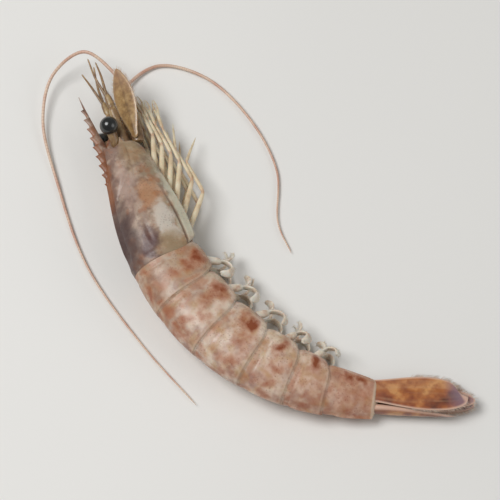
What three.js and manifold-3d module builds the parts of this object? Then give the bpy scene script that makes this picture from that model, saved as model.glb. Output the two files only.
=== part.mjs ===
// A raw caramote prawn, lying on its left flank with its tail curled towards its belly.
// Millimetres, +Z up. The head points to -X, the back faces -Y and the right flank faces up.
// The shell is a row of overlapping plates: one over the head, six rings and the tail fan.
import * as THREE from "three";
import { mergeVertices } from "three/addons/utils/BufferGeometryUtils.js";
import Module from "manifold-3d";

const manifold = await Module();
manifold.setup();

const { degToRad, clamp, lerp } = THREE.MathUtils;

// Lengths along the body. Places on it are counted from the eye socket towards the tail.
const CARAPACE_LENGTH = 37;
const ROSTRUM_LENGTH = 17;
const RING_LENGTHS = [11, 12.5, 12.5, 11, 9.5, 14];
const TELSON_LENGTH = 24;
const OUTER_BLADE_LENGTH = 27.5;
const INNER_BLADE_LENGTH = 29;

// Place, height and width of the body where its outline changes.
const BODY_SIZES = [
  [0, 11, 7.5],
  [12, 15.5, 12],
  [25, 19.6, 15.6],
  [37, 20.4, 16],
  [60, 20.4, 15.2],
  [83, 17.4, 12.6],
  [107.5, 10.6, 7.2],
];
const BACK_POWER = 2;
const BELLY_POWER = 2.7;
const PLEURON_SCALLOP = 0.1;

// The body lies in one arc between a straight head and a straight tail.
const BEND_START = 32;
const BEND_END = 102;
const HEAD_HEADING = degToRad(-28);
const TAIL_HEADING = degToRad(33);
const BEND_RADIUS = (BEND_END - BEND_START) / (TAIL_HEADING - HEAD_HEADING);

// The back is rolled a little upwards, and the lower flank is pressed flat by the weight.
const HEAD_ROLL = degToRad(16);
const TAIL_ROLL = degToRad(4);
const FLATTENED = 0.25;
const HEAD_HELD_FROM = 18;

// The shell's plates, and the gap that keeps two solids apart.
const GAP = 0.3;
const LIP = 0.45;
const LAP = 1.2;
const PLUG_DEPTH = 2.5;
const PLUG_INSET = 3.8;
const CENTRE = Infinity;

const SIDES = { right: 1, left: -1 };
const BODY_SIDES = 28;
const LIMB_SIDES = 6;
const BLADE_SIDES = 12;
const BLADE_ROWS = 9;

// Finishes of the pieces.
const SHELL = { color: 0xc79f88, roughness: 0.45 };
const HEAD_SHELL = { color: 0xb59f90, roughness: 0.45 };
const TAIL_FAN = { color: 0xc17a45, roughness: 0.45 };
const LEG = { color: 0xd8c3a2, roughness: 0.5 };
const SWIMMERET = { color: 0xd9c4b2, roughness: 0.5 };
const FEELER = { color: 0xcda27c, roughness: 0.5 };
const CORNEA = { color: 0x1b1a19, roughness: 0.15 };

const RING_STARTS = RING_LENGTHS.map(
  (_, ring) => CARAPACE_LENGTH + RING_LENGTHS.slice(0, ring).reduce((sum, length) => sum + length, 0),
);
const TAIL_ROOT = RING_STARTS.at(-1) + RING_LENGTHS.at(-1);

// A smooth value through [place, value] pairs, by a cubic curve with even slopes.
function smoothThrough(pairs, place) {
  const last = pairs.length - 1;
  const next = pairs.findIndex(([at]) => at > place);
  const i = next < 0 ? last - 1 : Math.max(next - 1, 0);
  const slope = (j) => {
    const [before, after] = [pairs[Math.max(j - 1, 0)], pairs[Math.min(j + 1, last)]];
    return (after[1] - before[1]) / (after[0] - before[0]);
  };
  const [[start, from], [end, to]] = [pairs[i], pairs[i + 1]];
  const span = end - start;
  const t = clamp((place - start) / span, 0, 1);
  const rest = 1 - t;
  const values = from * (1 + 2 * t) * rest * rest + to * t * t * (3 - 2 * t);
  return values + span * t * rest * (slope(i) * rest - slope(i + 1) * t);
}

const halfHeight = (s) => smoothThrough(BODY_SIZES.map(([at, height]) => [at, height / 2]), s);
const halfWidth = (s) => smoothThrough(BODY_SIZES.map(([at, , width]) => [at, width / 2]), s);

function headingAt(s) {
  return lerp(HEAD_HEADING, TAIL_HEADING, clamp((s - BEND_START) / (BEND_END - BEND_START), 0, 1));
}

function rollAt(s) {
  return lerp(HEAD_ROLL, TAIL_ROLL, clamp(s / TAIL_ROOT, 0, 1));
}

// The body's cross-section: a round back and a squarer belly. Angle 0 is the back.
function crossSection(height, width, angle) {
  const [cosine, sine] = [Math.cos(angle), Math.sin(angle)];
  const power = 2 / (cosine > 0 ? BACK_POWER : BELLY_POWER);
  const up = height * Math.sign(cosine) * Math.abs(cosine) ** power;
  const right = width * Math.sign(sine) * Math.abs(sine) ** power;
  return { up, right };
}

// How high the body's middle lies, with the rolled flank on the surface. The narrow snout is held up.
function restHeight(s) {
  const at = Math.max(s, HEAD_HELD_FROM);
  const roll = rollAt(at);
  let lowest = 0;
  for (let side = 0; side < BODY_SIDES; side++) {
    const { up, right } = crossSection(halfHeight(at), halfWidth(at), (2 * Math.PI * side) / BODY_SIDES);
    lowest = Math.min(lowest, up * Math.sin(roll) + right * Math.cos(roll));
  }
  return -lowest - FLATTENED;
}

function spine(s) {
  const heading = headingAt(s);
  const straight = s < BEND_START ? s - BEND_START : Math.max(s - BEND_END, 0);
  return new THREE.Vector3(
    BEND_RADIUS * (Math.sin(heading) - Math.sin(HEAD_HEADING)) + straight * Math.cos(heading),
    BEND_RADIUS * (Math.cos(HEAD_HEADING) - Math.cos(heading)) + straight * Math.sin(heading),
    restHeight(s),
  );
}

// A point of the animal: s along its spine, up towards its back, right towards its right flank.
function onAnimal(s, up, right) {
  const [heading, roll] = [headingAt(s), rollAt(s)];
  const outwards = up * Math.cos(roll) - right * Math.sin(roll);
  const rise = up * Math.sin(roll) + right * Math.cos(roll);
  const offset = new THREE.Vector3(outwards * Math.sin(heading), -outwards * Math.cos(heading), rise);
  return spine(s).add(offset);
}

// A point beside the animal at a height above the surface that it lies on.
function besideAnimal(s, up, height) {
  const heading = headingAt(s);
  const point = spine(s).add(new THREE.Vector3(up * Math.sin(heading), -up * Math.cos(heading), 0));
  return point.setZ(height);
}

// What would be below the surface lies on it.
function settled(point, clearance) {
  return point.setZ(Math.max(point.z, clearance));
}

// The lower edge of each ring's side plate is a rounded lobe, and the head's shell ends in half a one.
function pleuronDepth(s) {
  const ring = clamp(RING_STARTS.findLastIndex((start) => s >= start), 0, RING_LENGTHS.length - 1);
  const along = (s - RING_STARTS[ring]) / RING_LENGTHS[ring];
  return 1 - PLEURON_SCALLOP * clamp(Math.abs(2 * along - 1), 0, 1) ** 3;
}

// A point of the body's skin, or of a skin that lies deeper by an inset.
function onBody(s, angle, inset) {
  const lobe = s < CARAPACE_LENGTH ? CARAPACE_LENGTH + Math.min(CARAPACE_LENGTH - s, 5) : s;
  const depth = Math.cos(angle) > 0 ? 1 : pleuronDepth(lobe);
  const height = Math.max(halfHeight(s) * depth - inset, 0);
  const width = Math.max(halfWidth(s) - inset, 0);
  const { up, right } = crossSection(height, width, angle);
  return settled(onAnimal(s, up, right), 0);
}

function solidOf(geometry) {
  geometry.deleteAttribute("normal");
  geometry.deleteAttribute("uv");
  const merged = mergeVertices(geometry);
  const vertProperties = merged.getAttribute("position").array;
  const triVerts = new Uint32Array(merged.index.array);
  return new manifold.Manifold(new manifold.Mesh({ numProp: 3, vertProperties, triVerts }));
}

// A closed skin: a sphere whose points move to pointAt(t, angle), with t from pole to pole.
function closedSkin(around, along, pointAt) {
  const sphere = new THREE.SphereGeometry(1, around, along);
  const [position, uv] = [sphere.getAttribute("position"), sphere.getAttribute("uv")];
  for (let i = 0; i < position.count; i++) {
    const turn = uv.getX(i) % 1;
    const row = Math.round((1 - uv.getY(i)) * along);
    const point = pointAt(row / along, 2 * Math.PI * turn);
    position.setXYZ(i, point.x, point.y, point.z);
  }
  return solidOf(sphere);
}

// A plate of the shell, from a profile of [place, inset] pairs that starts and ends at the centre.
function plate(profile) {
  const rows = profile.length - 1;
  return closedSkin(BODY_SIDES, rows, (t, angle) => {
    const [s, inset] = profile[Math.round(t * rows)];
    return onBody(s, angle, inset);
  });
}

// The rear lip of a plate, and the hollow behind it that takes the next plate's front.
function lipAndHollow(rear) {
  return [
    [rear + LAP - 0.3, 0],
    [rear + LAP, LIP / 2],
    [rear + LAP - 0.1, LIP],
    [rear - PLUG_DEPTH + 0.8, LIP + 0.4],
    [rear - PLUG_DEPTH - GAP, PLUG_INSET - 0.6],
    [rear - PLUG_DEPTH - GAP, CENTRE],
  ];
}

// The front of a plate, which tucks in under the lip of the one before it.
function tuckedFront(front, length) {
  return [
    [front - PLUG_DEPTH, CENTRE],
    [front - PLUG_DEPTH, PLUG_INSET],
    [front - PLUG_DEPTH + 1, LIP + GAP + 0.75],
    [front, LIP + GAP + 0.25],
    [front + LAP, LIP + GAP],
    [front + 0.32 * length, 0.3],
    [front + 0.6 * length, 0],
  ];
}

// The tail end of the last ring, rounded over where the tail fan starts.
function roundedEnd(end) {
  return [
    [end - 0.8, 0],
    [end - 0.1, 0.7],
    [end + 0.4, 1.9],
    [end + 0.6, CENTRE],
  ];
}

function abdomenRing(ring) {
  const [start, length] = [RING_STARTS[ring], RING_LENGTHS[ring]];
  const end = ring < RING_LENGTHS.length - 1 ? lipAndHollow(start + length) : roundedEnd(start + length);
  return plate([...tuckedFront(start, length), ...end]);
}

// The head's shell, with a blunt front and the toothed rostrum on its ridge.
const SNOUT = [[-2.4, CENTRE], [-2.1, 3.1], [-1.2, 1.4], [0, 0.5]];
const HEAD_PLACES = [2, 6, 11, 16, 21, 26, 31, 35];

function carapace() {
  const flank = HEAD_PLACES.map((s) => [s, 0]);
  return plate([...SNOUT, ...flank, ...lipAndHollow(CARAPACE_LENGTH)]).add(rostrum());
}

// A saw-toothed blade that runs on from the head's ridge, thinner towards its tip.
const RIDGE_END = 13;
const RIDGE_TOP = 7.7;
const ROSTRUM_TIP_UP = 6.3;
const ROSTRUM_THICKNESS = 1.5;
const KEEL = { s: -4, up: 4.7 };
const TEETH = { count: 9, height: 0.9, bareTip: 4 };

function rostrum() {
  const pitch = (RIDGE_END + ROSTRUM_LENGTH - TEETH.bareTip) / TEETH.count;
  const outline = new THREE.Shape();
  outline.moveTo(RIDGE_END, RIDGE_TOP - ROSTRUM_THICKNESS);
  for (let tooth = 0; tooth < TEETH.count; tooth++) {
    const rear = RIDGE_END - tooth * pitch;
    const base = lerp(RIDGE_TOP, ROSTRUM_TIP_UP, tooth / TEETH.count);
    outline.lineTo(rear, base - 0.2);
    outline.lineTo(rear - 0.85 * pitch, base + TEETH.height);
    outline.lineTo(rear - 0.95 * pitch, base);
  }
  outline.lineTo(-ROSTRUM_LENGTH, ROSTRUM_TIP_UP);
  outline.lineTo(KEEL.s, KEEL.up);
  outline.lineTo(2, KEEL.up - ROSTRUM_THICKNESS);
  const saw = new THREE.ExtrudeGeometry(outline, { depth: ROSTRUM_THICKNESS, bevelEnabled: false });
  const position = saw.getAttribute("position");
  for (let i = 0; i < position.count; i++) {
    const s = position.getX(i);
    const taper = clamp(1 + (0.7 * s) / ROSTRUM_LENGTH, 0.3, 1);
    const point = onAnimal(s, position.getY(i), (ROSTRUM_THICKNESS / 2 - position.getZ(i)) * taper);
    position.setXYZ(i, point.x, point.y, point.z);
  }
  return solidOf(saw);
}

// A limb: a round or flattened tube along a smooth curve, pointed by its radii at start and end.
// A jointed limb has straight stretches and tight knees.
const KNEE_TENSION = 0.15;

function limb(points, { from, to, flat = 1, steps = 12, floor = from + 0.1, jointed = false }) {
  const way = points.map((point) => settled(point.clone(), floor));
  const kind = jointed ? "catmullrom" : "centripetal";
  const curve = new THREE.CatmullRomCurve3(way, false, kind, KNEE_TENSION);
  const { normals, binormals } = curve.computeFrenetFrames(steps);
  return closedSkin(LIMB_SIDES, steps + 2, (t, angle) => {
    const step = clamp(Math.round(t * (steps + 2)) - 1, 0, steps);
    const radius = t === 0 || t === 1 ? 0 : lerp(from, to, step / steps);
    return curve
      .getPointAt(step / steps)
      .addScaledVector(normals[step], radius * Math.cos(angle))
      .addScaledVector(binormals[step], -radius * flat * Math.sin(angle));
  });
}

// The middle line of a blade, in its own plane: ahead from its root, aside, and turned from its start.
const straightLine = (t, length) => ({ ahead: t * length, aside: 0, turn: 0 });

// A straight stalk that goes on in an arc.
function hookedLine(stalk, hook) {
  return (t, length) => {
    const turn = (hook * Math.max(t - stalk, 0)) / (1 - stalk);
    const radius = ((1 - stalk) * length) / hook;
    const ahead = Math.min(t, stalk) * length + radius * Math.sin(turn);
    return { ahead, aside: radius * (1 - Math.cos(turn)), turn };
  };
}

// A leaf-shaped blade along a middle line, with its rows closer together towards its ends.
// A slant makes one corner of its tip longer than the other.
function blade(root, along, across, size, line = straightLine) {
  const { length, width, thickness, widest, stem, blunt = 0.7, slant = 0, thinned = 0 } = size;
  const { sides = BLADE_SIDES, rows = BLADE_ROWS } = size;
  const forward = along.clone().normalize();
  const face = across.clone().cross(forward).normalize();
  const spread = forward.clone().cross(face);
  const fullness = Math.log(0.5) / Math.log(widest);
  return closedSkin(sides, rows, (row, angle) => {
    const t = 0.5 - 0.5 * Math.cos(Math.PI * row);
    const leaf = Math.sin(Math.PI * t ** fullness) ** blunt;
    const full = t < widest ? Math.hypot(leaf ** 3, stem ** 3) ** (1 / 3) : leaf;
    const breadth = row > 0 && row < 1 ? full : 0;
    const reach = (width / 2) * breadth * Math.cos(angle);
    const { ahead, aside, turn } = line(t, length);
    const cut = slant * Math.cos(angle) * t ** 4 * Math.sign(breadth);
    const middle = root
      .clone()
      .addScaledVector(forward, ahead + cut - reach * Math.sin(turn))
      .addScaledVector(spread, aside + reach * Math.cos(turn));
    const skin = (thickness / 2) * Math.sin(angle) * Math.min(1, 4 * breadth) * (1 - thinned * t);
    return settled(middle, thickness / 2 + 0.05).addScaledVector(face, skin);
  });
}

// Directions at a place of the animal.
function directionAt(s, forward, up, right) {
  return onAnimal(s, up, right).sub(onAnimal(s, 0, 0)).add(spine(s - forward).sub(spine(s)).setZ(0));
}

// All of the body with room round it, for cutting what is fixed on it.
function bodyWithRoom() {
  const places = [...HEAD_PLACES];
  for (let s = CARAPACE_LENGTH; s < TAIL_ROOT - 1; s += 2.5) places.push(s);
  const front = SNOUT.map(([s, inset]) => [s - GAP, inset - GAP]);
  const tail = roundedEnd(TAIL_ROOT).map(([s, inset]) => [s + GAP, inset - GAP]);
  return plate([...front, ...places.map((s) => [s, -GAP]), ...tail]);
}

const ROOM = bodyWithRoom();

// What is left of a piece outside the body, without loose scraps.
function fixedOnBody(piece) {
  const outside = piece.subtract(ROOM).decompose();
  return outside.reduce((largest, part) => (part.volume() > largest.volume() ? part : largest));
}

// A black ball on a short stalk beside the rostrum.
const EYE = { radius: 2.6, s: -4.2, up: 2.8, right: 4.6 };
const EYE_STALK = { from: 1.3, to: 1.5, steps: 4 };

function eye(side) {
  const middle = onAnimal(EYE.s, EYE.up, EYE.right * side);
  const ball = new THREE.SphereGeometry(EYE.radius, 16, 10);
  ball.translate(middle.x, middle.y, middle.z);
  const stalk = limb([onAnimal(0, 1.9, 1.8 * side), onAnimal(-2, 2.4, 3.2 * side), middle], EYE_STALK);
  return fixedOnBody(solidOf(ball).add(stalk));
}

// The small feeler: a jointed stalk with two short whips.
const ANTENNULE_STALK = { from: 1.4, to: 0.9, steps: 6 };
const ANTENNULE_WHIP = { from: 0.5, to: 0.3, steps: 5 };
const ANTENNULE_ENDS = { stalk: -15, whip: -26 };
const ANTENNULE_SPREADS = [1.6, -1.4];

function antennule(side) {
  const { stalk, whip } = ANTENNULE_ENDS;
  const root = onAnimal(0, -0.9, 1.6 * side);
  const joint = onAnimal(stalk / 2, -1, 1.9 * side);
  const end = onAnimal(stalk, -0.9, 2.3 * side);
  const whips = ANTENNULE_SPREADS.map((spread) => {
    const start = onAnimal(stalk + 1, -0.7, 2.2 * side);
    const halfway = onAnimal((stalk + whip) / 2, 0.6 * spread - 0.4, 2.6 * side);
    return limb([start, halfway, onAnimal(whip, spread - 0.4, (2.6 + spread) * side)], ANTENNULE_WHIP);
  });
  const stem = limb([root, joint, end], ANTENNULE_STALK);
  return fixedOnBody(whips.reduce((whole, part) => whole.add(part), stem));
}

// The stiff scale beside each long feeler's root.
const SCALE = { length: 21, width: 6.6, thickness: 0.8, widest: 0.55, stem: 0.35 };

function antennalScale(side) {
  const root = onAnimal(0.8, -3.5, 4.1 * side);
  const along = onAnimal(-20, -4.6, 6.6 * side).sub(root);
  return fixedOnBody(blade(root, along, directionAt(0, 0, -0.62, 0.78 * side), SCALE));
}

// The long feeler: a stout root and a whip. One lies along the back, the other in front of the legs.
const WHIP_ROUTES = {
  right: [
    onAnimal(-21, -4.5, 3.6),
    onAnimal(-29, 1, 3),
    besideAnimal(-28, 10, 5),
    besideAnimal(-17, 17, 2.5),
    besideAnimal(3, 19.5, 1),
    besideAnimal(28, 20, 0.8),
    besideAnimal(50, 17, 0.8),
    besideAnimal(68, 18.5, 0.8),
  ],
  left: [
    onAnimal(-19, -10, -3),
    besideAnimal(-22, -19, 0.9),
    besideAnimal(-14, -30, 0.9),
    besideAnimal(2, -37, 0.9),
    besideAnimal(20, -38.5, 0.8),
    besideAnimal(38, -33, 0.8),
    besideAnimal(56, -31, 0.8),
  ],
};

const ANTENNA_STALK = { from: 1.6, to: 1.1, steps: 4 };
const WHIP = { from: 0.6, to: 0.3, steps: 40 };

function antenna(name) {
  const side = SIDES[name];
  const joints = [onAnimal(1, -4.6, 2.4 * side), onAnimal(-4, -5.4, 2.8 * side), onAnimal(-10, -6, 3 * side)];
  const route = [onAnimal(-9, -5.9, 3 * side), onAnimal(-13, -6.1, 3.1 * side), ...WHIP_ROUTES[name]];
  return fixedOnBody(limb(joints, ANTENNA_STALK).add(limb(route, WHIP)));
}

// A leg leaves the underside, bends at its knee and lies forward beside the head.
// Legs are counted from the front: 0 is the mouth leg, 1 to 5 walk. The first knees lie in a slanted row,
// each further out than the one before, and the legs of the upper side lie above those of the lower.
const LEG_LENGTHS = [24, 27, 30, 34, 31, 32];
const LEG_ROOT_START = 9.5;
const LEG_ROOT_PITCH = 4.3;
const KNEE_ROW = { up: -8.6, step: -1.45 };
const LEG_SHARES = [0.38, 0.33, 0.29];
const LEG_LIE = degToRad(-4);
const LEG_STRAY = degToRad(1);
const FOOT_TURN = degToRad(-7);
const FOOT_TURN_STEP = degToRad(7.5);
const FOOT_STRAY_STEP = degToRad(2.5);
const LEG_SPREADS = { root: 2.8, knee: 3.6, ankle: 3, foot: 2 };
const LEG_FLOOR = { right: 3, left: 0.9 };
const LEG_SIZE = { from: 0.7, to: 0.32, flat: 0.8, steps: 13, jointed: true };

function leg(order, name) {
  const side = SIDES[name];
  const [thigh, shin, foot] = LEG_SHARES.map((share) => share * LEG_LENGTHS[order]);
  const root = { s: LEG_ROOT_START + order * LEG_ROOT_PITCH };
  root.up = -0.82 * halfHeight(root.s);
  const drop = root.up - KNEE_ROW.up - KNEE_ROW.step * order;
  const knee = { s: root.s - Math.sqrt(thigh ** 2 - drop ** 2), up: root.up - drop };
  const lie = LEG_LIE + LEG_STRAY * Math.sin(2.4 * order + side);
  const ankle = { s: knee.s - shin * Math.cos(lie), up: knee.up - shin * Math.sin(lie) };
  const stray = FOOT_STRAY_STEP * Math.sin(1.3 * order + side);
  const turn = lie + FOOT_TURN + order * (FOOT_TURN_STEP + stray);
  const tip = { s: ankle.s - foot * Math.cos(turn), up: ankle.up - foot * Math.sin(turn) };
  const points = [
    onAnimal(root.s, root.up, LEG_SPREADS.root * side),
    onAnimal(knee.s, knee.up, LEG_SPREADS.knee * side),
    onAnimal(ankle.s, ankle.up, LEG_SPREADS.ankle * side),
    onAnimal(tip.s, tip.up, LEG_SPREADS.foot * side),
  ];
  return fixedOnBody(limb(points, { ...LEG_SIZE, floor: LEG_FLOOR[name] }));
}

// A swimmeret: a stalk under each of the first five rings, with two limp paddles that are rolled up
// lengthwise. The longer one hooks back towards the tail, the shorter one towards the head.
const SWIMMERET_LENGTHS = [16, 16, 15, 13, 11];
const SWIMMERET_SHAPE = { width: 2, thickness: 2.2, widest: 0.25, stem: 0.5, blunt: 0.3, sides: 8, rows: 11 };
const SWIMMERET_DROOP = { right: -0.22, left: -0.1 };
const SWIMMERET_STALK = 0.41;
const HOOK_TURN = degToRad(190);
const HOOK_STRAY = degToRad(30);
const SHORT_PADDLE = { width: 1.2, thickness: 1.8, widest: 0.3, stem: 0.6, blunt: 0.3, sides: 6, rows: 6 };
const SHORT_PADDLE_SHARE = 0.45;
const SHORT_PADDLE_TURN = degToRad(-110);

function swimmeret(ring, name) {
  const side = SIDES[name];
  const s = RING_STARTS[ring] + 0.42 * RING_LENGTHS[ring];
  const root = onAnimal(s, -0.68 * halfHeight(s), 0.4 * halfWidth(s) * side);
  const along = directionAt(s, -0.5, -1, SWIMMERET_DROOP[name]);
  const across = directionAt(s, -0.85, 0.45, 0.45 * side);
  const length = SWIMMERET_LENGTHS[ring];
  const stray = Math.sin(2.3 * ring + side);
  const hook = hookedLine(SWIMMERET_STALK, HOOK_TURN + HOOK_STRAY * stray);
  const long = blade(root, along, across, { ...SWIMMERET_SHAPE, length }, hook);
  const elbow = root.clone().addScaledVector(along.clone().normalize(), (SWIMMERET_STALK - 0.06) * length);
  const shortSize = { ...SHORT_PADDLE, length: SHORT_PADDLE_SHARE * length };
  const shortHook = hookedLine(0, SHORT_PADDLE_TURN + HOOK_STRAY * stray);
  return fixedOnBody(long.add(blade(elbow, along, across, shortSize, shortHook)));
}

// The tail fan, half closed: the telson runs on from the back, and the blades hang beside it.
// Each blade is tucked into the last ring at a height and a layer beside the middle, and leans from the
// body's line. The upper outer blade is tucked in furthest, so the others show past its slanted end.
const TAIL_TUCK = 3;
const TELSON = { length: TELSON_LENGTH, width: 4, thickness: 3, widest: 0.28, stem: 0.1, thinned: 0.85 };
const TELSON_UP = { root: 3.1, tip: 1.9 };
const BLADE_THICKNESS = 0.7;
const INNER_SHAPE = { length: INNER_BLADE_LENGTH, width: 6.4, widest: 0.6, stem: 0.7, blunt: 0.5 };
const OUTER_SHAPE = {
  length: OUTER_BLADE_LENGTH,
  width: 9.4,
  widest: 0.68,
  stem: 0.64,
  blunt: 0.3,
  slant: 1.6,
};
const INNER_PLACE = {
  right: { tuck: TAIL_TUCK, up: -1.5, fan: -2.5, layer: 1, tipLayer: 0.9 },
  left: { tuck: TAIL_TUCK, up: -1.5, fan: -1.5, layer: -1, tipLayer: -1.1 },
};
const OUTER_PLACE = {
  right: { tuck: 5, up: -0.7, fan: -5.5, layer: 2.3, tipLayer: 2.2 },
  left: { tuck: TAIL_TUCK, up: -1.2, fan: -7, layer: -2.3, tipLayer: -2.7 },
};

function tailBlade(shape, { tuck, up, fan, layer, tipLayer }) {
  const rootPlace = TAIL_ROOT - tuck;
  const root = onAnimal(rootPlace, up, layer);
  const tip = onAnimal(rootPlace + shape.length, up + shape.length * Math.tan(degToRad(fan)), tipLayer);
  const size = { ...shape, thickness: BLADE_THICKNESS };
  return fixedOnBody(blade(root, tip.sub(root), directionAt(TAIL_ROOT, 0, 1, 0), size));
}

function telson() {
  const root = onAnimal(TAIL_ROOT - TAIL_TUCK, TELSON_UP.root, 0);
  const tip = onAnimal(TAIL_ROOT + TELSON_LENGTH, TELSON_UP.tip, 0);
  return fixedOnBody(blade(root, tip.sub(root), directionAt(TAIL_ROOT, 0, 0, 1), TELSON));
}

// The whole prawn, a mesh for each plate and limb.
const prawn = new THREE.Group();

function addPiece(name, solid, finish) {
  const { vertProperties, triVerts } = solid.getMesh();
  const geometry = new THREE.BufferGeometry();
  geometry.setAttribute("position", new THREE.BufferAttribute(vertProperties, 3));
  geometry.setIndex(new THREE.BufferAttribute(triVerts, 1));
  geometry.computeVertexNormals();
  const mesh = new THREE.Mesh(geometry, new THREE.MeshStandardMaterial({ ...finish, metalness: 0 }));
  mesh.name = name;
  prawn.add(mesh);
}

addPiece("carapace", carapace(), HEAD_SHELL);
RING_LENGTHS.forEach((_, ring) => addPiece(`abdomen_${ring + 1}`, abdomenRing(ring), SHELL));
addPiece("telson", telson(), TAIL_FAN);
for (const [name, side] of Object.entries(SIDES)) {
  addPiece(`uropod_inner_${name}`, tailBlade(INNER_SHAPE, INNER_PLACE[name]), TAIL_FAN);
  addPiece(`uropod_outer_${name}`, tailBlade(OUTER_SHAPE, OUTER_PLACE[name]), TAIL_FAN);
  addPiece(`eye_${name}`, eye(side), CORNEA);
  addPiece(`antennule_${name}`, antennule(side), FEELER);
  addPiece(`antennal_scale_${name}`, antennalScale(side), FEELER);
  addPiece(`antenna_${name}`, antenna(name), FEELER);
  addPiece(`maxilliped_${name}`, leg(0, name), LEG);
  for (let order = 1; order < LEG_LENGTHS.length; order++) {
    addPiece(`leg_${order}_${name}`, leg(order, name), LEG);
  }
  for (let ring = 0; ring < SWIMMERET_LENGTHS.length; ring++) {
    addPiece(`pleopod_${ring + 1}_${name}`, swimmeret(ring, name), SWIMMERET);
  }
}

// The origin is under the middle of the whole, on the surface that it lies on.
const bounds = new THREE.Box3().setFromObject(prawn);
const middle = bounds.getCenter(new THREE.Vector3());
prawn.position.set(-middle.x, -middle.y, -bounds.min.z);

const part = new THREE.Group();
part.add(prawn);

export default part;
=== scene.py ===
import math
import random
from functools import partial

import bpy
import numpy as np
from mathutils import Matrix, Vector


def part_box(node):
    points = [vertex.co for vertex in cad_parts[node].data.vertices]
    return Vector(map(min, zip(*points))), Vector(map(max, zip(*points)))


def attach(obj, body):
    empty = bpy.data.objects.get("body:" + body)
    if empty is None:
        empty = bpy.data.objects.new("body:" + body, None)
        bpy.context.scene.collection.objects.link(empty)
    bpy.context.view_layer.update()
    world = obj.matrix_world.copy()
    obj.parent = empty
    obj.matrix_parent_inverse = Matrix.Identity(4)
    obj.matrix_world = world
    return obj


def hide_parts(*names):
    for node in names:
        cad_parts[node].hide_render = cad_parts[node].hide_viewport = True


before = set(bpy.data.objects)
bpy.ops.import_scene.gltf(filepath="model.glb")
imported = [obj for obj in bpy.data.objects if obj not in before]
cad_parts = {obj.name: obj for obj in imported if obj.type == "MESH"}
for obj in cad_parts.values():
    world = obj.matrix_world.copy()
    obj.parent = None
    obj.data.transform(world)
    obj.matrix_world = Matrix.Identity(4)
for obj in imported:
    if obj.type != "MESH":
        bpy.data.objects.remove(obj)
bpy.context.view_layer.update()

# The carapace is one hard plate of chitin over the head and chest. A ridge runs along its back between
# two grooves, its front edge is cut out for the eyes, and its lower edge is free and covers the gills.
# The prawn lies on its left flank, so every place is given along its spine, up its back and to its right.
MM = 0.001
SPINE_PLACES = np.array([0, 12, 25, 37, 60, 83, 107.5])
BODY_HEIGHTS = np.array([11, 15.5, 19.6, 20.4, 20.4, 17.4, 10.6])
BODY_WIDTHS = np.array([7.5, 12, 15.6, 16, 15.2, 12.6, 7.2])
BELLY_POWER = 2.7
BEND_START, BEND_END = 32, 102
HEAD_HEADING, TAIL_HEADING = math.radians(-28), math.radians(33)
BEND_RADIUS = (BEND_END - BEND_START) / (TAIL_HEADING - HEAD_HEADING)
HEAD_ROLL, TAIL_ROLL = math.radians(16), math.radians(4)
HEAD_HELD_FROM = 18
FLANK_STEPS = 28
PRESSED_FLAT = 0.25
HEAD_LENGTH = 37
RING_LENGTHS = np.array([11, 12.5, 12.5, 11, 9.5, 14])
RING_STARTS = HEAD_LENGTH + np.concatenate([[0], np.cumsum(RING_LENGTHS[:-1])])
TAIL_ROOT = RING_STARTS[-1] + RING_LENGTHS[-1]


def smooth_through(values, s):
    """A smooth value along the spine, through the values at its places."""
    order = np.arange(len(SPINE_PLACES))
    ahead, behind = np.minimum(order + 1, order[-1]), np.maximum(order - 1, 0)
    slopes = (values[ahead] - values[behind]) / (SPINE_PLACES[ahead] - SPINE_PLACES[behind])
    i = np.clip(np.searchsorted(SPINE_PLACES, s, side="right") - 1, 0, order[-1] - 1)
    span = SPINE_PLACES[i + 1] - SPINE_PLACES[i]
    t = np.clip((s - SPINE_PLACES[i]) / span, 0, 1)
    r = 1 - t
    ends = values[i] * (1 + 2 * t) * r * r + values[i + 1] * t * t * (3 - 2 * t)
    return ends + span * t * r * (slopes[i] * r - slopes[i + 1] * t)


def half_height(s):
    return smooth_through(BODY_HEIGHTS, s) / 2


def half_width(s):
    return smooth_through(BODY_WIDTHS, s) / 2


def heading(s):
    bent = np.clip((s - BEND_START) / (BEND_END - BEND_START), 0, 1)
    return HEAD_HEADING + (TAIL_HEADING - HEAD_HEADING) * bent


def roll(s):
    return HEAD_ROLL + (TAIL_ROLL - HEAD_ROLL) * np.clip(s / TAIL_ROOT, 0, 1)


def eased(x):
    """Goes smoothly from 0 to 1 while x does."""
    x = np.clip(x, 0, 1)
    return x * x * (3 - 2 * x)


def hump(x, width):
    return np.exp(-((x / width) ** 2))


def cross_section(height, width, angle):
    """A round back and a squarer belly. Angle 0 is the back, a quarter turn is the right flank."""
    power = np.where(np.cos(angle) > 0, 1, 2 / BELLY_POWER)
    up = height * np.sign(np.cos(angle)) * np.abs(np.cos(angle)) ** power
    right = width * np.sign(np.sin(angle)) * np.abs(np.sin(angle)) ** power
    return up, right


def spine(s):
    """A point of the spine, which bends in one arc and lies as high as the flank below it needs."""
    turn = heading(s)
    straight = np.where(s < BEND_START, s - BEND_START, np.maximum(s - BEND_END, 0))
    x = BEND_RADIUS * (np.sin(turn) - math.sin(HEAD_HEADING)) + straight * np.cos(turn)
    y = BEND_RADIUS * (math.cos(HEAD_HEADING) - np.cos(turn)) + straight * np.sin(turn)
    held = np.maximum(s, HEAD_HELD_FROM)[..., None]
    angles = np.arange(FLANK_STEPS) * math.tau / FLANK_STEPS
    up, right = cross_section(half_height(held), half_width(held), angles)
    z = -(up * np.sin(roll(held)) + right * np.cos(roll(held))).min(axis=-1) - PRESSED_FLAT
    return np.stack([x, y, z], axis=-1)


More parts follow.
